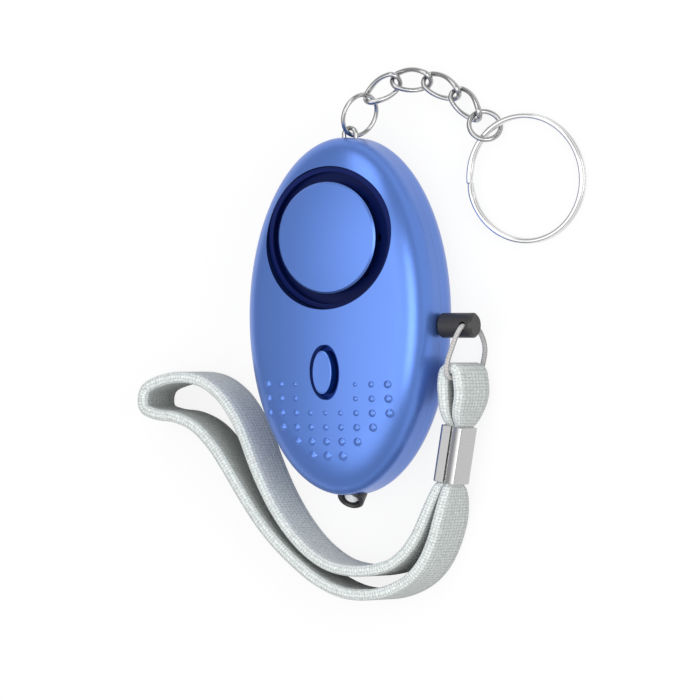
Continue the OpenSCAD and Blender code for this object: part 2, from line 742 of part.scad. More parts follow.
module tact_plunger() {
  color("black") translate([0, button_y, board_top + tact_h - plunger_in])
    cylinder(r = plunger_r, h = plunger_up + plunger_in);
}

module torch_button() {
  bevel = 0.15;
  color("cornflowerblue") translate([0, button_y, 0]) {
    oval(cap_w, cap_l) polygon([
      [0, flange_z + 0.1], [cap_w, flange_z + 0.1], [cap_w, cap_top - bevel], [cap_w - bevel, cap_top], [0, cap_top]
    ]);
    translate([0, 0, flange_z]) oval(flange_w, flange_l) square([flange_w, flange_t]);
    translate([0, 0, plunger_top + play]) cylinder(r = stem_r, h = flange_z - plunger_top + flange_t/2);
  }
}

// Power pieces

module button_cells() {
  bevel = 0.4;
  color("lightgray") for (k = [-1:1]) translate([k*cell_pitch - cell_t/2, cell_y, cell_z]) rotate([0, 90, 0])
    rotate_extrude($fn = 96) polygon([
      [0, 0], [cell_d/2 - bevel, 0], [cell_d/2, bevel], [cell_d/2, cell_t - 2*bevel], [cell_d/2 - 2*bevel, cell_t],
      [0, cell_t]
    ]);
}

// Sprung contact against one end of the cells, hooked over its wall
module cell_contact(s) {
  x = stack_end + fit;
  mirror([s < 0 ? 1 : 0, 0, 0]) {
    translate([x, cell_y - end_wall_w/2, wall + 1.6]) cube([contact_t, end_wall_w, cell_z - wall + 0.6]);
    translate([x, cell_y - end_wall_w/2, cell_z + 2.2 - contact_hook - 0.7]) cube([contact_hook, end_wall_w, contact_t]);
  }
}

module plus_contact() { color("silver") cell_contact(1); }
module minus_contact() { color("silver") cell_contact(-1); }

// Torch lamp pieces

module lamp_bezel() {
  lip_round = 0.3;
  color("black") at_lamp() rotate_extrude() polygon([
    [lamp_r + 0.02, -bezel_tail], [bezel_sleeve_r, -bezel_tail], [bezel_sleeve_r, bezel_back], [bezel_r, bezel_back],
    [bezel_r, bezel_face - lip_round], [bezel_r - lip_round, bezel_face], [lamp_r + lip_round, bezel_face],
    [lamp_r + 0.02, bezel_face - lip_round]
  ]);
}

module lamp() {
  color("white") at_lamp() {
    translate([0, 0, -bezel_tail]) cylinder(r = lamp_r - 0.02, h = bezel_tail + bezel_face - lamp_r);
    translate([0, 0, bezel_face - lamp_r]) sphere(lamp_r - 0.02);
    for (s = [-1, 1]) translate([s*leg_x, 0, -bezel_tail - leg_l]) cylinder(r = leg_r, h = leg_l + 0.1);
  }
}

module lamp_leads() {
  color("firebrick") for (s = [-1, 1]) tube([for (p = lamp_lead) [s*p[0], p[1], p[2]]], lead_r, cord_sides, lead_steps);
}

module piezo_leads() {
  color("firebrick") {
    tube(plate_lead, lead_r, cord_sides, lead_steps);
    tube(ceramic_lead, lead_r, cord_sides, lead_steps);
  }
}

// Pull pin and its switch

module pin_guide() {
  color("dimgray") along_pin(guide_x0) difference() {
    cylinder(r = guide_r, h = guide_x1 - guide_x0);
    translate([0, 0, -1]) cylinder(r = shank_r + run, h = guide_x1 - guide_x0 + 2);
  }
}

module fork_contact() {
  color("peru") translate([fork_x, pin_y, board_top]) difference() {
    translate([0, -fork_w/2, 0]) cube([leaf_t, fork_w, fork_h]);
    translate([-1, -shank_r - 0.3, z_split - board_top - shank_r - 0.3]) cube([leaf_t + 2, 2*shank_r + 0.6, fork_h]);
  }
}

module leaf_contact() {
  color("peru") translate([leaf_x, pin_y - leaf_w/2, board_top + leaf_lift]) cube([leaf_t, leaf_w, leaf_h]);
}

module pull_pin() {
  edge = 0.4;
  head_from = half_w + pin_gap;
  color("black") difference() {
    along_pin(0) rotate_extrude() polygon([
      [0, pin_tip], [shank_r - edge, pin_tip], [shank_r, pin_tip + edge], [shank_r, head_from],
      [pin_r - edge, head_from], [pin_r, head_from + edge], [pin_r, pin_end - edge], [pin_r - edge, pin_end],
      [0, pin_end]
    ]);
    translate(eye - [0, 0, 5]) cylinder(r = pin_eye_d/2, h = 10);
  }
}

module pull_cord() { color("lightgray") tube(cord_points, cord_d/2, cord_sides, cord_steps); }

module wrist_strap() {
  path = curve(strap_points, strap_steps);
  plan = [for (p = path) [p[0], p[1], 0]];
  color("silver") skin([
    for (i = [0:len(path) - 1])
      let (t = heading_at(plan, i), n = [t[1], -t[0], 0]*strap_t/2, b = [0, 0, -path[i][3]/2])
      let (c = [path[i][0], path[i][1], path[i][2]])
      [c + n + b, c - n + b, c - n - b, c + n - b]
  ]);
}

module strap_crimp() {
  size = [crimp_in[0] + 2*crimp_wall, crimp_l, crimp_in[1] + 2*crimp_wall];
  color("gainsboro") translate(crimp_at) rotate([0, 0, crimp_lean]) difference() {
    cube(size, center = true);
    cube([crimp_in[0], crimp_l + 2, crimp_in[1]], center = true);
    translate([seam_x - seam_w/2, -crimp_l, 0]) cube([seam_w, 2*crimp_l, size[2]]);
  }
}

// Chain pieces

module chain_eyelet() {
  r = eyelet_wire/2;
  leg = eyelet_y - half_h + eyelet_in - 0.4;
  color("silver") translate([0, eyelet_y, z_split]) {
    rotate_extrude(angle = 180, $fn = 64) translate([eyelet_half, 0]) circle(r, $fn = 32);
    for (s = [-1, 1]) translate([s*eyelet_half, 0, 0]) {
      rotate([90, 0, 0]) cylinder(r = r, h = leg, $fn = 32);
      translate([0, -leg, 0]) sphere(r, $fn = 32);
      translate([0, -leg, 0]) rotate([0, s*90, 0]) cylinder(r = r, h = eyelet_foot, $fn = 32);
    }
  }
}

module jump_ring() { color("silver") hang(jump_seat, jump_aim, jump_roll, jump_mid) ring_of(jump_mid, jump_r); }

// Twisted oval link: its near end is rolled by the twist one way and its far end the other way
module chain_link(i) {
  end_r = (link_w - link_wire)/2;
  straight = link_span/2 - end_r;
  a = link_aim[i];
  turns = [for (k = [0:link_rings - 1]) 360*(k + 0.5)/link_rings];
  axis = [for (t = turns) sign(cos(t))*straight*min(1, abs(cos(t))*1.6)];
  path = [
    for (k = [0:link_rings - 1])
      let (u = axis[k] + end_r*cos(turns[k]), v = end_r*sin(turns[k]))
      link_mid[i] + u*aim(a) + v*side_of(a, -twist*u/(straight + end_r))
  ];
  skin([
    for (k = [0:link_rings - 1])
      let (t = unit(path[(k + 1)%link_rings] - path[(k + link_rings - 1)%link_rings]))
      let (out = path[k] - link_mid[i] - axis[k]*aim(a), n = unit(out - (out*t)*t), b = cross(t, n))
      [for (j = [0:link_sides - 1]) path[k] + link_r*(cos(360*j/link_sides)*n + sin(360*j/link_sides)*b)]
  ], loop = true);
}

module chain_link_1() { color("silver") chain_link(0); }
module chain_link_2() { color("silver") chain_link(1); }
module chain_link_3() { color("silver") chain_link(2); }
module chain_link_4() { color("silver") chain_link(3); }
module end_ring() { color("silver") hang(end_from, end_aim, end_roll, end_mid) ring_of(end_mid, link_r); }

module key_ring() {
  color("silver") hang(key_from, key_aim, 0, key_mid) rotate_extrude($fn = 128) {
    translate([key_mid, key_step/2]) circle(key_wire/2, $fn = 32);
    translate([key_mid, -key_step/2]) circle(key_wire/2, $fn = 32);
  }
}

front_shell();
rear_shell();
battery_door();
door_screw();
shell_screws();
sounder_cup();
sounder_cover();
piezo_plate();
piezo_ceramic();
piezo_seat();
circuit_board();
driver_chip();
boost_coil();
board_parts();
tact_switch();
tact_plunger();
torch_button();
button_cells();
plus_contact();
minus_contact();
lamp_bezel();
lamp();
lamp_leads();
piezo_leads();
pin_guide();
fork_contact();
leaf_contact();
pull_pin();
pull_cord();
wrist_strap();
strap_crimp();
chain_eyelet();
jump_ring();
chain_link_1();
chain_link_2();
chain_link_3();
chain_link_4();
end_ring();
key_ring();
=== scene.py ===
"""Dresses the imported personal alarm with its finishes, webbing, cord, chain, stage and camera."""

import json
import logging
import math
from dataclasses import dataclass, field, replace
from enum import Enum
from typing import Sequence

import bpy
import numpy as np
from mathutils import Matrix, Vector


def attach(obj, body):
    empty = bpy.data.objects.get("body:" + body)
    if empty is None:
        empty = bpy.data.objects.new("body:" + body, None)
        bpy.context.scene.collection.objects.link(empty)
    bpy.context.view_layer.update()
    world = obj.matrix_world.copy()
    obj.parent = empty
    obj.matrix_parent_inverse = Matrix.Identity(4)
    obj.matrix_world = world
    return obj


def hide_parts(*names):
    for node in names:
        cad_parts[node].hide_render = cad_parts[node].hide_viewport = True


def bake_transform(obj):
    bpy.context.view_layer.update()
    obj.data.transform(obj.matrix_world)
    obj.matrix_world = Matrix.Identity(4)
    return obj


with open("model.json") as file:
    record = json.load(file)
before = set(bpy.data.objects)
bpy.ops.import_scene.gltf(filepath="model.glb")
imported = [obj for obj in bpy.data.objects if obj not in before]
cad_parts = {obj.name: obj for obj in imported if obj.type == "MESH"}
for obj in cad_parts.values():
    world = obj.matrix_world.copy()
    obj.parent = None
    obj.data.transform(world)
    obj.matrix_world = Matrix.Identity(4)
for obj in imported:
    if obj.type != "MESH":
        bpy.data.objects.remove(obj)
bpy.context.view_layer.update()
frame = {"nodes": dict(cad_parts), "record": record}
LOG = logging.getLogger("alarm")
MM = 0.001
Colour = tuple[float, float, float]
Place = tuple[float, float, float]
Span = tuple[float, float]
Points = Sequence[Sequence[float]]
Socket = bpy.types.NodeSocket
Value = float | bpy.types.NodeSocket
Paint = tuple[float, ...] | bpy.types.NodeSocket

# Grain of moulded and plated surfaces.
BROAD_SHARE = 0.06  # scale of the broad unevenness, as a share of the fine grain's
GRAIN_DEPTH = 0.0001  # height of the grain in metres
# Threads of woven fabric.
THREAD_DIP = 0.55  # how far a thread falls along its own run, against 1 across it
GAP_GAIN = 2.2  # how narrow the gaps between the threads are
FUZZ_SCALE = 2500.0  # fine fibres, per metre
FUZZ_HEIGHT = 0.35  # height of the fibres, as a share of a thread's
WORN_SCALE = 90.0  # broad worn patches, per metre
WORN_SHARE = 0.12  # how much the patches change the brightness
# Edges between two tones of a moulded piece, in millimetres.
TONE_EDGE = 0.04
SEAM_CORE = 0.02
SEAM_REACH = 0.09
SEAM_TONE = 0.65  # brightness of the parting line, as a share of the case's


class Wrap(Enum):
    """Whether the rings of a swept form run open with caps or close into a loop."""

    OPEN = "open"
    LOOP = "loop"


class Ease(Enum):
    """How a ramp passes from its first value to its second."""

    STRAIGHT = "LINEAR"
    SOFT = "SMOOTHSTEP"


def smooth_curve(points: Points, steps: int) -> np.ndarray:
    """Smooth curve through unevenly spaced points that doesn't overshoot between close ones.

    Args:
        points: the points to pass through, as x, y, z and any further values.
        steps: the stretches between two points.

    Returns:
        The points of the curve.
    """
    p = np.asarray(points, float)
    p = np.concatenate([[2 * p[0] - p[1]], p, [2 * p[-1] - p[-2]]])
    gaps = np.sqrt(np.linalg.norm(np.diff(p[:, :3], axis=0), axis=1))
    out = []
    for i in range(1, len(p) - 2):
        a, b, c, d = p[i - 1 : i + 3]
        u, v, w = gaps[i - 1 : i + 2]
        chord = c - b
        leave = chord + v * ((b - a) / u - (c - a) / (u + v))
        reach = chord + v * ((d - c) / w - (d - b) / (v + w))
        bend, swing = 3 * chord - 2 * leave - reach, leave + reach - 2 * chord
        out += [b + leave * t + bend * t**2 + swing * t**3 for t in np.arange(steps) / steps]
    out.append(p[-2])
    return np.array(out)


def tangents(path: np.ndarray, wrap: Wrap) -> np.ndarray:
    """Unit directions along a path, from its neighbouring points.

    Args:
        path: the points of the path.
        wrap: whether the path is a loop.

    Returns:
        One direction for each point.
    """
    if wrap is Wrap.LOOP:
        t = np.roll(path, -1, 0) - np.roll(path, 1, 0)
    else:
        t = np.gradient(path, axis=0)
    return t / np.linalg.norm(t, axis=1, keepdims=True)


def arc_lengths(path: np.ndarray) -> np.ndarray:
    """Distance of each point of a path from its start."""
    return np.concatenate([[0.0], np.cumsum(np.linalg.norm(np.diff(path, axis=0), axis=1))])


def add_mesh(
    name: str, verts: np.ndarray, faces: list[list[int]], uvs: np.ndarray | None = None
) -> bpy.types.Object:
    """Adds a smooth mesh object to the scene.

    Args:
        name: the piece's name.
        verts: its vertices in millimetres.
        faces: its faces as lists of vertex numbers.
        uvs: a position for each vertex on the piece's surface, in metres, for its pattern.

    Returns:
        The new object.
    """
    mesh = bpy.data.meshes.new(name)
    mesh.from_pydata([tuple(v) for v in np.asarray(verts) * MM], [], faces)
    mesh.polygons.foreach_set("use_smooth", [True] * len(mesh.polygons))
    if uvs is not None:
        layer = mesh.uv_layers.new(name="surface")
        index = np.zeros(len(mesh.loops), int)
        mesh.loops.foreach_get("vertex_index", index)
        layer.data.foreach_set("uv", np.asarray(uvs, float)[index].ravel())
    mesh.update()
    obj = bpy.data.objects.new(name, mesh)
    bpy.context.scene.collection.objects.link(obj)
    return obj


def skin(name: str, rings: np.ndarray, wrap: Wrap, along: np.ndarray | None = None) -> bpy.types.Object:
    """Closed surface through rings of points.

    Args:
        name: the piece's name.
        rings: an array of rings by points by three, in millimetres.
        wrap: whether the rings close into a loop.
        along: the distance of each ring from the start, in millimetres, for the surface pattern.

    Returns:
        The new object.
    """
    n, m, _ = rings.shape
    last = n if wrap is Wrap.LOOP else n - 1
    faces = [
        [i * m + j, i * m + (j + 1) % m, (i + 1) % n * m + (j + 1) % m, (i + 1) % n * m + j]
        for i in range(last)
        for j in range(m)
    ]
    if wrap is Wrap.OPEN:
        faces += [list(range(m - 1, -1, -1)), [(n - 1) * m + j for j in range(m)]]
    uvs = None
    if along is not None:
        uvs = np.array([(a * MM, g * MM) for a in along for g in arc_lengths(rings[0])])
    return add_mesh(name, rings.reshape(-1, 3), faces, uvs)


def round_rings(path: np.ndarray, radius: float, sides: int, wrap: Wrap, lead: np.ndarray) -> np.ndarray:
    """Round sections of one radius along a path, in a frame carried along without twist.

    Args:
        path: the centreline in millimetres.
        radius: the radius of the section.
        sides: the points of a section.
        wrap: whether the path is a loop.
        lead: a direction that the first section starts from.

    Returns:
        The rings of points.
    """
    t = tangents(path, wrap)
    n = lead - np.dot(lead, t[0]) * t[0]
    rings = []
    angle = np.arange(sides) * 2 * math.pi / sides
    for centre, d in zip(path, t):
        n = n - np.dot(n, d) * d
        n = n / np.linalg.norm(n)
        b = np.cross(d, n)
        rings.append(centre + radius * (np.cos(angle)[:, None] * n + np.sin(angle)[:, None] * b))
    return np.array(rings)


def rgba(colour: Sequence[float]) -> tuple[float, ...]:
    """Colour with its fourth value, full cover."""
    return (*colour, 1.0)


class Graph:
    """The nodes of a tree, with short calls to add and join them."""

    def __init__(self, tree: bpy.types.NodeTree) -> None:
        """Starts on an empty tree."""
        self.tree = tree
        self.tree.nodes.clear()

    def node(
        self, kind: str, inputs: dict[str | int, object] | None = None, **settings: object
    ) -> bpy.types.Node:
        """Adds a node.

        Args:
            kind: the node's type.
            inputs: values or sockets for its inputs, by name or number.
            settings: its properties.

        Returns:
            The node.
        """
        made = self.tree.nodes.new(kind)
        for key, value in settings.items():
            setattr(made, key, value)
        for key, value in (inputs or {}).items():
            if isinstance(value, bpy.types.NodeSocket):
                self.tree.links.new(value, made.inputs[key])
            else:
                made.inputs[key].default_value = value
        return made

    def math(self, operation: str, a: Value, b: Value = 0.0) -> Socket:
        """Joins two values by one operation."""
        return self.node("ShaderNodeMath", {0: a, 1: b}, operation=operation).outputs[0]

    def coords(self, kind: str) -> Socket:
        """Socket with the point's coordinates of the named kind."""
        return self.node("ShaderNodeTexCoord").outputs[kind]

    def axes(self, kind: str) -> Sequence[Socket]:
        """Sockets with the single coordinates of the named kind."""
        return self.node("ShaderNodeSeparateXYZ", {0: self.coords(kind)}).outputs

    def noise(self, place: Socket, scale: Value, detail: float) -> Socket:
        """Socket with a noise of a scale per metre."""
        inputs = {"Vector": place, "Scale": scale, "Detail": detail}
        return self.node("ShaderNodeTexNoise", inputs).outputs["Fac"]

    def ramp(self, value: Socket, ends: Span, to: Span = (0.0, 1.0), ease: Ease = Ease.STRAIGHT) -> Socket:
        """Passes between the two values of to while the value goes from one end to the other."""
        inputs = dict(enumerate((value, *ends, *to)))
        return self.node("ShaderNodeMapRange", inputs, interpolation_type=ease.value).outputs[0]

    def mix(self, mask: Socket, low: Paint, high: Paint) -> Socket:
        """Mixes two colours by a mask."""
        return self.node("ShaderNodeMix", {0: mask, 6: low, 7: high}, data_type="RGBA").outputs[2]

    def scale(self, colour: Socket, factor: Socket) -> Socket:
        """Brightens or darkens a colour by a factor."""
        return self.node("ShaderNodeVectorMath", {0: colour, "Scale": factor}, operation="SCALE").outputs[0]

    def bump(self, height: Socket, strength: float, depth: float) -> Socket:
        """Normal of a surface with a height of a depth in metres."""
        inputs = {"Height": height, "Strength": strength, "Distance": depth}
        return self.node("ShaderNodeBump", inputs).outputs[0]


def new_material(name: str) -> tuple[bpy.types.Material, Graph]:
    """Starts a material.

    Args:
        name: the material's name.

    Returns:
        The material and its empty graph.
    """
    material = bpy.data.materials.new(name)
    material.use_nodes = True
    return material, Graph(material.node_tree)


def new_group(
    name: str, inputs: Sequence[tuple[str, str, object]], outputs: Sequence[tuple[str, str]]
) -> tuple[bpy.types.NodeTree, Graph, dict[str, Socket]]:
    """Starts a shader node group.

    Args:
        name: the group's name.
        inputs: name, socket type and default of each input.
        outputs: name and socket type of each output.

    Returns:
        The group, its graph and its input sockets by name.
    """
    tree = bpy.data.node_groups.new(name, "ShaderNodeTree")
    for label, kind, default in inputs:
        tree.interface.new_socket(label, in_out="INPUT", socket_type=kind).default_value = default
    for label, kind in outputs:
        tree.interface.new_socket(label, in_out="OUTPUT", socket_type=kind)
    graph = Graph(tree)
    start = graph.node("NodeGroupInput")
    return tree, graph, {s.name: s for s in start.outputs}


def grain_group() -> bpy.types.NodeTree:
    """Fine moulding or plating grain: a slightly uneven colour, roughness and height.

    Returns:
        The group.
    """
    tree, g, i = new_group(
        "fine_grain",
        [
            ("Colour", "NodeSocketColor", (0.5, 0.5, 0.5, 1)),
            ("Unevenness", "NodeSocketFloat", 0.05),
            ("Scale", "NodeSocketFloat", 1500.0),
            ("Roughness", "NodeSocketFloat", 0.3),
            ("Spread", "NodeSocketFloat", 0.05),
        ],
        [("Colour", "NodeSocketColor"), ("Roughness", "NodeSocketFloat"), ("Height", "NodeSocketFloat")],
    )
    place = g.coords("Object")
    fine = g.noise(place, i["Scale"], 3.0)
    broad = g.noise(place, g.math("MULTIPLY", i["Scale"], BROAD_SHARE), 2.0)
    shade = g.math("ADD", g.math("MULTIPLY", g.math("SUBTRACT", broad, 0.5), i["Unevenness"]), 1.0)
    rough = g.math("ADD", i["Roughness"], g.math("MULTIPLY", g.math("SUBTRACT", fine, 0.5), i["Spread"]))
    g.node("NodeGroupOutput", {"Colour": g.scale(i["Colour"], shade), "Roughness": rough, "Height": fine})
    return tree


def weave_group() -> bpy.types.NodeTree:
    """Plain weave over the surface position: rounded threads that pass over and under each other.

    Returns:
        The group.
    """
    tree, g, i = new_group(
        "plain_weave",
        [("Along", "NodeSocketFloat", 0.0009), ("Across", "NodeSocketFloat", 0.0007)],
        [("Height", "NodeSocketFloat"), ("Gap", "NodeSocketFloat")],
    )
    spot = g.axes("UV")
    a = g.math("DIVIDE", spot[0], i["Along"])
    b = g.math("DIVIDE", spot[1], i["Across"])
    cell = g.math("ADD", g.math("FLOOR", a), g.math("FLOOR", b))
    parity = g.math("ABSOLUTE", g.math("MODULO", cell, 2.0))

    def crown(value: Socket, depth: float) -> Socket:
        """Rounded profile over one cell, from 1 in its middle down by depth at its edges."""
        part = g.math("SUBTRACT", g.math("MULTIPLY", g.math("FRACT", value), 2.0), 1.0)
        return g.math("SUBTRACT", 1.0, g.math("MULTIPLY", g.math("MULTIPLY", part, part), depth))

    over = g.math("MULTIPLY", crown(b, 1.0), crown(a, THREAD_DIP))
    under = g.math("MULTIPLY", crown(a, 1.0), crown(b, THREAD_DIP))
    height = g.node("ShaderNodeMix", {0: parity, 2: over, 3: under}, data_type="FLOAT").outputs[0]
    gap = g.math("SUBTRACT", 1.0, g.math("SMOOTH_MIN", g.math("MULTIPLY", height, GAP_GAIN), 1.0))
    g.node("NodeGroupOutput", {"Height": height, "Gap": gap})
    return tree


GRAIN = grain_group()
WEAVE = weave_group()


@dataclass(frozen=True)
class Opening:
    """Oval opening in the front, in millimetres, with the colour of its walls."""

    x: float
    y: float
    half_width: float
    half_length: float
    colour: Colour
    edge: float = 0.985

    def clear(self, g: Graph, spot: Sequence[Socket]) -> Socket:
        """Mask that is 0 inside the opening and 1 outside.

        Args:
            g: the material's graph.
            spot: the point's coordinates.

        Returns:
            The mask.
        """
        across = g.math("DIVIDE", g.math("SUBTRACT", spot[0], self.x * MM), self.half_width * MM)
        along = g.math("DIVIDE", g.math("SUBTRACT", spot[1], self.y * MM), self.half_length * MM)
        off = g.math("ADD", g.math("MULTIPLY", across, across), g.math("MULTIPLY", along, along))
        return g.ramp(off, (self.edge, 1.0))


@dataclass(frozen=True)
class Finish:
    """A solid surface with fine grain: plastic, metal, ceramic or board.

    What lies under level takes a second, darker colour, painted shade that stands in for the shade on the
    side walls, and the parting line runs at the height seam, both in millimetres over the back of the case.
    """

    name: str
    colour: Colour
    roughness: float
    metallic: float = 0.0
    unevenness: float = 0.06
    grain: float = 1500.0
    spread: float = 0.06
    bump: float = 0.04
    specular: float = 0.5
    transmission: float = 0.0
    painted_shade_below: Colour | None = None
    level: float = 0.0
    seam: float | None = None
    openings: tuple[Opening, ...] = ()

    def tinted(self, g: Graph, colour: Socket) -> Socket:
        """Adds the painted shade under level, the parting line and the walls of the openings to a colour.

        Args:
            g: the material's graph.
            colour: the plain colour.

        Returns:
            The mixed colour.
        """
        spot = g.axes("Object")
        # Painted shade: under level the colour turns darker, standing in for the shade on the side walls.
        if self.painted_shade_below is not None:
            above = g.ramp(spot[2], ((self.level - TONE_EDGE) * MM, (self.level + TONE_EDGE) * MM))
            colour = g.mix(above, rgba(self.painted_shade_below), colour)
        if self.seam is not None:
            off = g.math("ABSOLUTE", g.math("SUBTRACT", spot[2], self.seam * MM))
            clear = g.ramp(off, (SEAM_CORE * MM, SEAM_REACH * MM))
            colour = g.mix(clear, rgba([SEAM_TONE * c for c in self.colour]), colour)
        for opening in self.openings:
            colour = g.mix(opening.clear(g, spot), rgba(opening.colour), colour)
        return colour

    def build(self) -> bpy.types.Material:
        """Makes the finish's material.

        Returns:
            The material.
        """
        material, g = new_material(self.name)
        grain = g.node(
            "ShaderNodeGroup",
            {
                "Colour": rgba(self.colour),
                "Unevenness": self.unevenness,
                "Scale": self.grain,
                "Roughness": self.roughness,
                "Spread": self.spread,
            },
            node_tree=GRAIN,
        ).outputs
        colour = grain["Colour"]
        if self.painted_shade_below or self.seam or self.openings:
            colour = self.tinted(g, colour)
        shader = g.node(
            "ShaderNodeBsdfPrincipled",
            {
                "Base Color": colour,
                "Roughness": grain["Roughness"],
                "Normal": g.bump(grain["Height"], self.bump, GRAIN_DEPTH),
                "Metallic": self.metallic,
                "Specular IOR Level": self.specular,
                "Transmission Weight": self.transmission,
            },
        )
        g.node("ShaderNodeOutputMaterial", {"Surface": shader.outputs[0]})
        return material


@dataclass(frozen=True)
class PaintedInnerShade:
    """Painted shade on the inner face of a fabric, between two distances round its section in metres: the
    face is darkened to stand in for the shade inside the loops.
    """

    start: float
    end: float
    tone: float
    edge: float = 0.0003

    def shade(self, g: Graph) -> Socket:
        """Brightness of the point, from the painted shade's tone on the inner face to 1 away from it.

        Args:
            g: the material's graph.

        Returns:
            The brightness.
        """
        middle, half = (self.start + self.end) / 2, (self.end - self.start) / 2
        off = g.math("ABSOLUTE", g.math("SUBTRACT", g.axes("UV")[1], middle))
        return g.ramp(off, (half - self.edge, half + self.edge), (self.tone, 1.0), Ease.SOFT)


@dataclass(frozen=True)
class Cloth:
    """Woven or twisted fabric, with its threads over the surface position, in metres."""

    name: str
    thread: Colour
    shade: Colour
    along: float
    across: float
    depth: float = 0.0001
    speckle: float = 0.16
    # Painted shade on the inner face, if any.
    painted_inner_shade: PaintedInnerShade | None = None

    def build(self) -> bpy.types.Material:
        """Makes the fabric's material.

        Returns:
            The material.
        """
        material, g = new_material(self.name)
        inputs = {"Along": self.along, "Across": self.across}
        weave = g.node("ShaderNodeGroup", inputs, node_tree=WEAVE).outputs
        place = g.coords("Object")
        fuzz, worn = g.noise(place, FUZZ_SCALE, 4.0), g.noise(place, WORN_SCALE, 3.0)
        uneven = g.math("ADD", g.math("MULTIPLY", fuzz, self.speckle), g.math("MULTIPLY", worn, WORN_SHARE))
        level = g.math("ADD", 1.0 - (self.speckle + WORN_SHARE) / 2, uneven)
        # Painted shade: the inner face is darkened, standing in for the shade inside the loops.
        if self.painted_inner_shade is not None:
            level = g.math("MULTIPLY", level, self.painted_inner_shade.shade(g))
        colour = g.mix(weave["Gap"], rgba(self.thread), rgba(self.shade))
        height = g.math("ADD", weave["Height"], g.math("MULTIPLY", fuzz, FUZZ_HEIGHT))
        shader = g.node(
            "ShaderNodeBsdfPrincipled",
            {
                "Base Color": g.scale(colour, level),
                "Roughness": 0.92,
                "Normal": g.bump(height, 0.8, self.depth),
                "Sheen Weight": 0.25,
                "Sheen Roughness": 0.5,
                "Specular IOR Level": 0.2,
            },
        )
        g.node("ShaderNodeOutputMaterial", {"Surface": shader.outputs[0]})
        return material


BLUE: Colour = (0.115, 0.232, 0.66)
NAVY: Colour = (0.002, 0.009, 0.085)
# Painted shade: the dark blue of the gap round the button, which is the case's blue plastic in shade.
PAINTED_GAP_SHADE: Colour = (0.003, 0.03, 0.22)
SLOT_FINISHES: tuple[Finish, ...] = (
    Finish("case_blue", BLUE, 0.31, metallic=0.68, bump=0.02, spread=0.04, seam=8.0),
    # Painted shade: the button's flank and flange under 17.3 mm take the gap's dark shade colour.
    Finish(
        "key_blue", BLUE, 0.36, metallic=0.4, bump=0.02, spread=0.04, specular=0.2, painted_shade_below=PAINTED_GAP_SHADE, level=17.3
    ),
    Finish("ring_navy", NAVY, 0.4, bump=0.02, spread=0.05, specular=0.12),
    Finish("black_plastic", (0.026, 0.025, 0.027), 0.42, bump=0.1, spread=0.1),
    Finish("lens", (0.93, 0.95, 0.97), 0.12, transmission=0.2, bump=0.0, spread=0.02),
    Finish("bright_metal", (0.45, 0.45, 0.455), 0.2, metallic=1.0, spread=0.06, bump=0.02),
    Finish("sheet_metal", (0.52, 0.515, 0.52), 0.28, metallic=1.0, spread=0.1, bump=0.04, grain=900.0),
    Finish("contact_metal", (0.6, 0.58, 0.52), 0.3, metallic=1.0, spread=0.1),
    Finish("brass", (0.62, 0.42, 0.14), 0.3, metallic=1.0, spread=0.12),
    Finish("ceramic", (0.8, 0.8, 0.76), 0.55, spread=0.08),
    Finish("board_green", (0.02, 0.2, 0.08), 0.4, unevenness=0.2, spread=0.1),
    Finish("copper", (0.5, 0.2, 0.08), 0.35, metallic=0.8, spread=0.1),
    Finish("tan_parts", (0.45, 0.35, 0.22), 0.6),
    Finish("lead_red", (0.42, 0.02, 0.02), 0.45),
)
FINISHES: dict[str, Finish] = {finish.name: finish for finish in SLOT_FINISHES}
# Painted shade: the sounder cover's side wall under 15.72 mm is painted navy, standing in for its shade.
COVER = Finish("cover_blue", BLUE, 0.33, metallic=0.7, bump=0.02, spread=0.04, painted_shade_below=NAVY, level=15.72)
# Painted shade: the walls of the button's hole take the gap's dark shade colour; the sounder hole's walls
# are navy like its cup.
FRONT = replace(
    FINISHES["case_blue"],
    name="front_blue",
    openings=(Opening(0, 13.1, 12.08, 12.08, NAVY), Opening(0.45, -9.4, 2.5, 4.66, PAINTED_GAP_SHADE)),
)
SPECIAL: dict[str, Finish] = {"sounder_cover": COVER, "front_shell": FRONT}
RING = replace(FINISHES["bright_metal"], name="ring_metal", colour=(0.78, 0.78, 0.78))
# The webbing's inner face carries painted shade.
WEBBING = Cloth(
    "webbing",
    thread=(0.7, 0.745, 0.735),
    shade=(0.42, 0.46, 0.45),
    along=0.0005,
    across=0.00048,
    speckle=0.9,
    painted_inner_shade=PaintedInnerShade(0.00093, 0.00433, 0.6),
)
CORD = Cloth("cord", thread=(0.56, 0.55, 0.54), shade=(0.32, 0.31, 0.31), along=0.0005, across=0.00044)


@dataclass
class Case:
    """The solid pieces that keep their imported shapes."""

    sharp_angle: float = 32.0
    made: dict[str, bpy.types.Material] = field(default_factory=dict)

    def material(self, slot: str) -> bpy.types.Material:
        """Finish of a slot of the record, made once.

        Args:
            slot: the slot's name.

        Returns:
            The material.
        """
        if slot not in self.made:
            self.made[slot] = FINISHES[slot].build()
        return self.made[slot]

    def dress(self) -> None:
        """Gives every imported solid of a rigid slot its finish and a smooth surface."""
        for part in frame["record"]["subparts"]:
            node, slot = part["node"], part["material_slot"]
            if slot not in FINISHES:
                continue
            mesh = frame["nodes"][node].data
            mesh.materials.clear()
            mesh.materials.append(SPECIAL[node].build() if node in SPECIAL else self.material(slot))
            mesh.polygons.foreach_set("use_smooth", [True] * len(mesh.polygons))
            mesh.set_sharp_from_angle(angle=math.radians(self.sharp_angle))
            LOG.info("dressed %s as %s", node, slot)


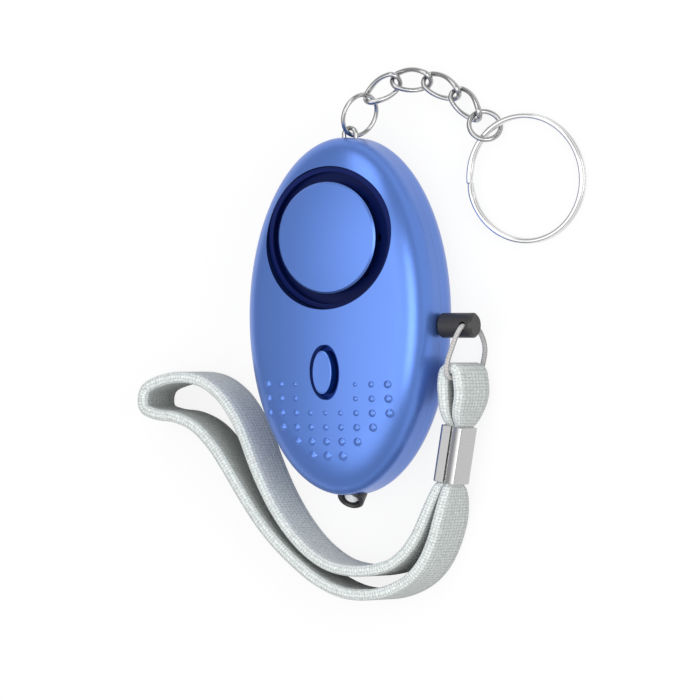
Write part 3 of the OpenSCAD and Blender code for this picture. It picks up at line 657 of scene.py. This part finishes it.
@dataclass
class Strap:
    """Woven wrist strap: one closed loop that the clamp pinches into a small and a big loop."""

    thickness: float = 1.9
    pressed: float = 1.5
    width: float = 10.0
    pinch: float = 4.6
    corner: float = 0.8
    steps: int = 6

    def route(self) -> Points:
        """Lays out the strap's line, from the clamp through the small and the big loop and back.

        Returns:
            The points, as x, y, middle height and width in millimetres.
        """
        w, p = self.width, self.pinch
        return [
            (18.33, -22.87, 5.9, p), (18.73, -20.51, 5.9, p), (19.14, -18.14, 5.9, p),
            (19.17, -17.5, 5.93, 6.3), (19.2, -15.9, 6, 8.6), (19.25, -13.5, 6.1, 9.8),
            (19.3, -10.6, 6.2, w), (19.72, -9.13, 6.2, w), (20.75, -8.7, 6.2, w), (21.78, -9.13, 6.2, w),
            (22.2, -10.6, 6.2, w), (22.3, -13.2, 6.1, 9.8), (21.5, -16, 6, 8.6), (20.95, -17.75, 5.93, 6.3),
            (20.68, -18.4, 5.9, p), (19.85, -23.23, 5.9, p), (19.02, -28.06, 5.9, p),
            (18.91, -28.7, 5.83, 6.3), (18.5, -31, 5.5, 8.6),
            (17.6, -34.6, 5.2, w), (16.4, -38.2, 5.2, w), (14.6, -41.5, 5.2, w), (12, -44.1, 5.2, w),
            (8.4, -45.9, 5.2, w), (4.4, -46.7, 5.2, w), (-0.6, -46.4, 5.2, w), (-5.6, -44.4, 5.2, w),
            (-10, -41.3, 5.2, w), (-14, -37.8, 5.2, w), (-17.4, -34, 5.2, w), (-20.6, -29.6, 5.2, w),
            (-23.4, -25.5, 5.2, w), (-26.2, -21.8, 5.2, w), (-29.6, -18.7, 5.2, w), (-33.4, -17.1, 5.2, w),
            (-37.2, -16.6, 5.2, w), (-39.5, -15.7, 5.2, w), (-39.9, -14, 5.2, w), (-39.2, -12.2, 5.2, w),
            (-36.4, -10.9, 5.2, w), (-32.4, -10.3, 5.2, w), (-28.3, -11, 5.2, w), (-24.8, -13.2, 5.2, w),
            (-22.1, -16.4, 5.2, w), (-20, -20.2, 5.2, w), (-18.3, -24.2, 5.2, w), (-16.4, -28.2, 5.2, w),
            (-14, -32.3, 5.2, w), (-11.2, -36, 5.2, w), (-7.8, -39.3, 5.2, w), (-3.6, -41.8, 5.2, w),
            (0.6, -42.7, 5.2, w), (4.6, -42.6, 5.2, w), (8.3, -41.7, 5.2, w), (11, -39.9, 5.2, w),
            (13, -37.6, 5.2, w), (14.5, -35, 5.2, w), (16.1, -31.2, 5.5, 8.6), (17.22, -28.45, 5.83, 6.3),
            (17.48, -27.8, 5.9, p), (17.88, -25.44, 5.9, p), (18.29, -23.07, 5.9, p),
        ]  # fmt: skip

    def section(self, width: float) -> np.ndarray:
        """Rounded flat section, as across and up offsets in millimetres.

        Args:
            width: the webbing's width at this place.

        Returns:
            The section's points, counter-clockwise as seen from ahead.
        """
        free = min(max((width - self.pinch) / (self.width - self.pinch), 0.0), 1.0)
        half = (self.pressed + (self.thickness - self.pressed) * free) / 2
        r = half * self.corner
        points = []
        for sx, sy, start in ((1, -1, -90), (1, 1, 0), (-1, 1, 90), (-1, -1, 180)):
            for a in (0, 30, 60, 90):
                angle = math.radians(start + a)
                x = sx * (half - r) + r * math.cos(angle)
                points.append((x, sy * (width / 2 - r) + r * math.sin(angle)))
            if sx != sy:
                points += [(sx * half, sx * width * f) for f in (-0.25, 0.0, 0.25)]
        return np.array(points)

    @staticmethod
    def mean_width(widths: np.ndarray, along: np.ndarray) -> float:
        """Mean width of the webbing over its length, in millimetres."""
        steps = np.diff(along)
        return float(np.sum((widths[1:] + widths[:-1]) / 2 * steps) / along[-1])

    def build(self) -> list[bpy.types.Object]:
        """Returns:
            The webbing.
        """
        path = smooth_curve(self.route(), self.steps)
        centre, widths = path[:, :3], np.clip(path[:, 3], self.pinch, self.width)
        t = tangents(centre * (1, 1, 0), Wrap.OPEN)
        side = np.stack([-t[:, 1], t[:, 0], np.zeros(len(t))], 1)
        rings = []
        for c, n, width in zip(centre, side, widths):
            s = self.section(width)
            rings.append(c - s[:, :1] * n + s[:, 1:] * np.array((0, 0, 1.0)))
        along = arc_lengths(centre)
        strap = skin("wrist_webbing", np.array(rings), Wrap.OPEN, along)
        strap.data.materials.append(WEBBING.build())
        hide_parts("wrist_strap")
        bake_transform(strap)
        return [strap]


@dataclass
class PullCord:
    """Thin cord loop from the pin's eye through the strap's small loop."""

    diameter: float = 0.84
    sides: int = 14
    steps: int = 8
    eye: Place = (22.7, -1.55, 8.0)

    def route(self) -> np.ndarray:
        """Lays out the cord's line, out of the eye, through the small loop and back into the eye.

        Returns:
            The points in millimetres.
        """
        e = np.array(self.eye)
        return np.array([
            e, e + (0, -0.08, 1.2), e + (-0.02, -0.2, 2.0), (22.45, -2.4, 10.6), (22, -3.35, 10.78),
            (21.6, -4.5, 10.95), (21.2, -5.8, 11.15), (20.9, -7.2, 11.55), (20.75, -8.7, 11.85),
            (20.72, -10.05, 11.25), (20.75, -10.3, 9.3), (20.75, -10.3, 6), (20.75, -10.3, 2.9),
            (20.85, -9.95, 0.95), (21.15, -8.8, 0.58), (21.7, -7.2, 0.75), (22.25, -5.6, 1.35),
            (22.55, -3.9, 2.5), e + (0, -0.6, -3.5), e + (0, -0.05, -2.3), e + (0, 0, -0.4),
        ])  # fmt: skip

    def build(self) -> list[bpy.types.Object]:
        """Returns:
            The cord.
        """
        path = smooth_curve(self.route(), self.steps)
        along = arc_lengths(path)
        rings = round_rings(path, self.diameter / 2, self.sides, Wrap.OPEN, np.array((1.0, 0, 0)))
        cord = skin("pin_cord", rings, Wrap.OPEN, along)
        cord.data.materials.append(CORD.build())
        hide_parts("pull_cord")
        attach(cord, "pin")
        return [cord]


@dataclass
class Clamp:
    """Bent sheet sleeve round both layers of the strap, with its seam along the front."""

    place: Place = (19.08, -23.1, 5.9)
    lean: float = -9.7
    length: float = 9.6
    outer: Span = (4.1, 5.7)
    wall: float = 0.4
    corner: float = 0.55
    inner_corner: float = 0.12
    seam_at: float = 0.1
    seam: float = 0.22
    dip: float = 0.26
    dip_run: float = 0.15
    dip_shares: Span = (0.35, 0.9)
    end_ease: float = 0.1
    sharp_angle: float = 40.0

    def outline(self, inset: float) -> np.ndarray:
        """Open outline of the sleeve from one edge of the seam round to the other.

        Args:
            inset: the distance inside the outer skin.

        Returns:
            The points, as across and up in millimetres.
        """
        w, h = self.outer[0] / 2 - inset, self.outer[1] / 2 - inset
        r = max(self.corner - inset, self.inner_corner)
        left, right = self.seam_at - self.seam / 2, self.seam_at + self.seam / 2
        points = [(left, h), ((left - w + r) / 2, h), (-w + r, h)]
        for sx, sy, start in ((-1, 1, 90), (-1, -1, 180), (1, -1, 270), (1, 1, 0)):
            for a in (0, 22.5, 45, 67.5, 90):
                angle = math.radians(start + a)
                points.append((sx * (w - r) + r * math.cos(angle), sy * (h - r) + r * math.sin(angle)))
        far, near = (h - self.dip * share for share in self.dip_shares)
        points += [((w - r + right) / 2, far), (right + self.dip_run, near), (right, h - self.dip)]
        return np.array(points)

    def build(self) -> list[bpy.types.Object]:
        """Makes the sleeve, with softened ends.

        Returns:
            The sleeve.
        """
        half, soft = self.length / 2, self.end_ease
        rings = []
        for y, ease in ((-half, soft), (-half + soft, 0.0), (half - soft, 0.0), (half, soft)):
            ring = np.concatenate([self.outline(ease), self.outline(self.wall - ease / 2)[::-1]])
            rings.append(np.stack([ring[:, 0], np.full(len(ring), y), ring[:, 1]], 1))
        turn = np.array(Matrix.Rotation(math.radians(self.lean), 3, "Z"))
        clamp = skin("clamp_sleeve", np.array(rings) @ turn.T + np.array(self.place), Wrap.OPEN)
        clamp.data.set_sharp_from_angle(angle=math.radians(self.sharp_angle))
        clamp.data.materials.append(FINISHES["sheet_metal"].build())
        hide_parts("strap_crimp")
        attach(clamp, "pin")
        return [clamp]


def aim(heading: float, pitch: float) -> np.ndarray:
    """Direction of a heading and a pitch in degrees."""
    a, b = math.radians(heading), math.radians(pitch)
    return np.array((math.cos(b) * math.cos(a), math.cos(b) * math.sin(a), math.sin(b)))


def side_of(heading: float, pitch: float, roll: float) -> np.ndarray:
    """Sideways direction of a heading and a pitch, rolled about them.

    Args:
        heading: the turn about the upright axis, in degrees.
        pitch: the rise, in degrees.
        roll: the turn about the direction itself, in degrees.

    Returns:
        The direction.
    """
    a, r = math.radians(heading), math.radians(roll)
    right = np.array((math.sin(a), -math.cos(a), 0.0))
    return math.cos(r) * right + math.sin(r) * np.cross(right, aim(heading, pitch))


@dataclass
class Chain:
    """Four twisted curb links and the two-turn key ring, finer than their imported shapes."""

    wire: float = 0.82
    flat: float = 1.3
    width: float = 4.3
    pitch: float = 6.54
    span: float = 6.68
    twist: float = 45.0
    fullness: float = 1.6
    starts: tuple[Place, ...] = (
        (2.30058, 36.3547, 6.6228),
        (6.54652, 39.6669, 4.9871),
        (11.9501, 39.8715, 3.507),
        (16.9952, 37.6853, 2.45605),
    )
    aims: tuple[Span, ...] = ((35, -17), (0, -15), (-25, -10), (-43, 0))
    link_steps: int = 96
    sides: int = 16
    key_from: Place = (23.5992, 30.9637, 2.5077)
    key_aim: Span = (-50, -4)
    key_mid: float = 10.45
    key_wire: float = 0.9
    key_step: float = 0.8
    key_step_arc: float = 0.5
    key_split: float = 2.2
    key_steps: int = 400

    def link(self, i: int) -> bpy.types.Object:
        """Twisted oval link of flattened wire.

        Args:
            i: the link's number from the case, from 0.

        Returns:
            The link.
        """
        end_r = (self.width - self.wire) / 2
        straight = self.span / 2 - end_r
        d = aim(*self.aims[i])
        mid = np.array(self.starts[i]) + self.pitch / 2 * d
        path, faces = [], []
        for turn in np.arange(self.link_steps) * 2 * math.pi / self.link_steps:
            c = math.cos(turn)
            u = math.copysign(1, c) * straight * min(1, abs(c) * self.fullness) + end_r * c
            roll = -self.twist * u / (straight + end_r)
            path.append(mid + u * d + end_r * math.sin(turn) * side_of(*self.aims[i], roll))
            faces.append(side_of(*self.aims[i], roll + 90))
        rings = []
        angle = np.arange(self.sides)[:, None] * 2 * math.pi / self.sides
        for centre, t, n in zip(path, tangents(np.array(path), Wrap.LOOP), faces):
            n = n - np.dot(n, t) * t
            n = n / np.linalg.norm(n)
            offset = self.flat * np.cos(angle) * n + np.sin(angle) * np.cross(t, n)
            rings.append(centre + self.wire / 2 * offset)
        return skin(f"curb_link_{i + 1}", np.array(rings), Wrap.LOOP)

    def key_ring(self) -> bpy.types.Object:
        """Split ring of two turns that lie on each other, with a short step between them.

        Returns:
            The ring.
        """
        d, s = aim(*self.key_aim), side_of(*self.key_aim, 0)
        n = np.cross(d, s)
        centre = np.array(self.key_from) + self.key_mid * d
        path = []
        for a in np.linspace(0, 4 * math.pi, self.key_steps):
            ease = min(max((a - 2 * math.pi) / self.key_step_arc + 0.5, 0.0), 1.0)
            lift = self.key_step * (ease * ease * (3 - 2 * ease) - 0.5)
            b = a + self.key_split
            path.append(centre + self.key_mid * (math.cos(b) * d + math.sin(b) * s) + lift * n)
        rings = round_rings(np.array(path), self.key_wire / 2, self.sides, Wrap.OPEN, n)
        return skin("split_ring", rings, Wrap.OPEN)

    def build(self) -> list[bpy.types.Object]:
        """Makes the links and the key ring in bright metal.

        Returns:
            The links and the ring.
        """
        metal = FINISHES["bright_metal"].build()
        pieces = [(self.link(i), f"chain_link_{i + 1}", f"link_{i + 1}", metal) for i in range(4)]
        pieces.append((self.key_ring(), "key_ring", "key", RING.build()))
        for obj, node, body, finish in pieces:
            obj.data.materials.append(finish)
            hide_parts(node)
            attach(obj, body)
        return [piece[0] for piece in pieces]


@dataclass(frozen=True)
class Lamp:
    """Soft rectangular lamp, with its place and size in millimetres and its power in watts."""

    name: str
    place: Place
    size: Span
    energy: float

    def build(self, target: Place) -> None:
        """Adds the lamp to the scene.

        Args:
            target: the point that it faces, in millimetres.
        """
        data = bpy.data.lights.new(self.name, "AREA")
        data.shape = "RECTANGLE"
        data.size, data.size_y = (side * MM for side in self.size)
        data.energy = self.energy
        obj = bpy.data.objects.new(self.name, data)
        obj.location = Vector(self.place) * MM
        obj.rotation_euler = (Vector(target) - Vector(self.place)).to_track_quat("-Z", "Y").to_euler()
        bpy.context.scene.collection.objects.link(obj)


@dataclass
class Stage:
    """Pale floor, soft studio light and the camera at the photograph's angle.

    The scale is in pixels a millimetre, and lengths are in millimetres, apart from clip, in metres.
    """

    scale: float = 5.95
    look_at: Place = (0.0, -5.664, 8.0)
    back: Place = (0.5, 0.0, 0.8660254)
    distance: float = 1300.0
    frame_px: float = 700.0
    sensor: float = 36.0
    clip: Span = (0.05, 10.0)
    floor_half: float = 2500.0
    floor_height: float = -0.05
    floor_tone: float = 0.9
    floor_glow: float = 0.86
    bounce: float = 0.35
    sky_high: float = 1.85
    sky_low: float = 0.46
    sky_ramp: Span = (0.6, 1.0)
    sky_side: Place = (0.12, -0.15, 0.9814)
    lamp_target: Place = (0.0, 0.0, 8.0)
    lamps: tuple[Lamp, ...] = (
        Lamp("soft_key", (60, 420, 330), (320, 320), 0.6),
        Lamp("right_strip", (410, 0, 285), (360, 210), 0.75),
    )

    def camera(self) -> None:
        """Places the camera, looking down on the pin's side of the front."""
        data = bpy.data.cameras.new("photo_camera")
        data.sensor_width = self.sensor
        data.lens = self.sensor * self.distance / (self.frame_px / self.scale)
        data.clip_start, data.clip_end = self.clip
        obj = bpy.data.objects.new("photo_camera", data)
        back, up = Vector(self.back), Vector((0.0, 1.0, 0.0))
        turn = Matrix((up.cross(back), up, back)).transposed().to_4x4()
        turn.translation = (Vector(self.look_at) + back * self.distance) * MM
        obj.matrix_world = turn
        bpy.context.scene.collection.objects.link(obj)
        bpy.context.scene.camera = obj

    def floor(self) -> None:
        """Lays a wide pale floor that keeps the object's shadow."""
        s, z = self.floor_half, self.floor_height
        floor = add_mesh("floor", np.array([(-s, -s, z), (s, -s, z), (s, s, z), (-s, s, z)]), [[0, 1, 2, 3]])
        material, g = new_material("pale_floor")
        ray = g.node("ShaderNodeLightPath").outputs
        seen = g.math("MAXIMUM", ray["Is Camera Ray"], ray["Is Transmission Ray"])
        seen = g.math("MAXIMUM", seen, ray["Is Glossy Ray"])
        dull = g.node("ShaderNodeBsdfDiffuse", {"Color": rgba([self.bounce] * 3)})
        lit = g.node("ShaderNodeBsdfDiffuse", {"Color": rgba([self.floor_tone] * 3)})
        glow = g.node("ShaderNodeEmission", {"Color": (1, 1, 1, 1), "Strength": 1.0})
        pale = g.node("ShaderNodeMixShader", {0: self.floor_glow, 1: lit.outputs[0], 2: glow.outputs[0]})
        mix = g.node("ShaderNodeMixShader", {0: seen, 1: dull.outputs[0], 2: pale.outputs[0]})
        g.node("ShaderNodeOutputMaterial", {"Surface": mix.outputs[0]})
        floor.data.materials.append(material)

    def world(self) -> None:
        """Soft surroundings, brightest overhead and low at the sides."""
        world = bpy.data.worlds.new("studio")
        bpy.context.scene.world = world
        world.use_nodes = True
        g = Graph(world.node_tree)
        ends = {0: g.coords("Generated"), 1: self.sky_side}
        rise = g.node("ShaderNodeVectorMath", ends, operation="DOT_PRODUCT").outputs["Value"]
        strength = g.ramp(rise, self.sky_ramp, (self.sky_low, self.sky_high), Ease.SOFT)
        sky = g.node("ShaderNodeBackground", {"Color": (1, 1, 1, 1), "Strength": strength})
        g.node("ShaderNodeOutputWorld", {"Surface": sky.outputs[0]})

    def build(self) -> None:
        """Builds the whole stage."""
        self.camera()
        self.floor()
        self.world()
        for lamp in self.lamps:
            lamp.build(self.lamp_target)
        bpy.context.scene.view_settings.view_transform = "Standard"


def main() -> None:
    """Builds the stage and the alarm's pieces in order."""
    logging.basicConfig(level=logging.INFO, format="%(name)s: %(message)s")
    Stage().build()
    for part in (Clamp(), Strap(), PullCord(), Chain()):
        for piece in part.build():
            LOG.info("built %s", piece.name)
    Case().dress()


if __name__ == "__main__":
    main()
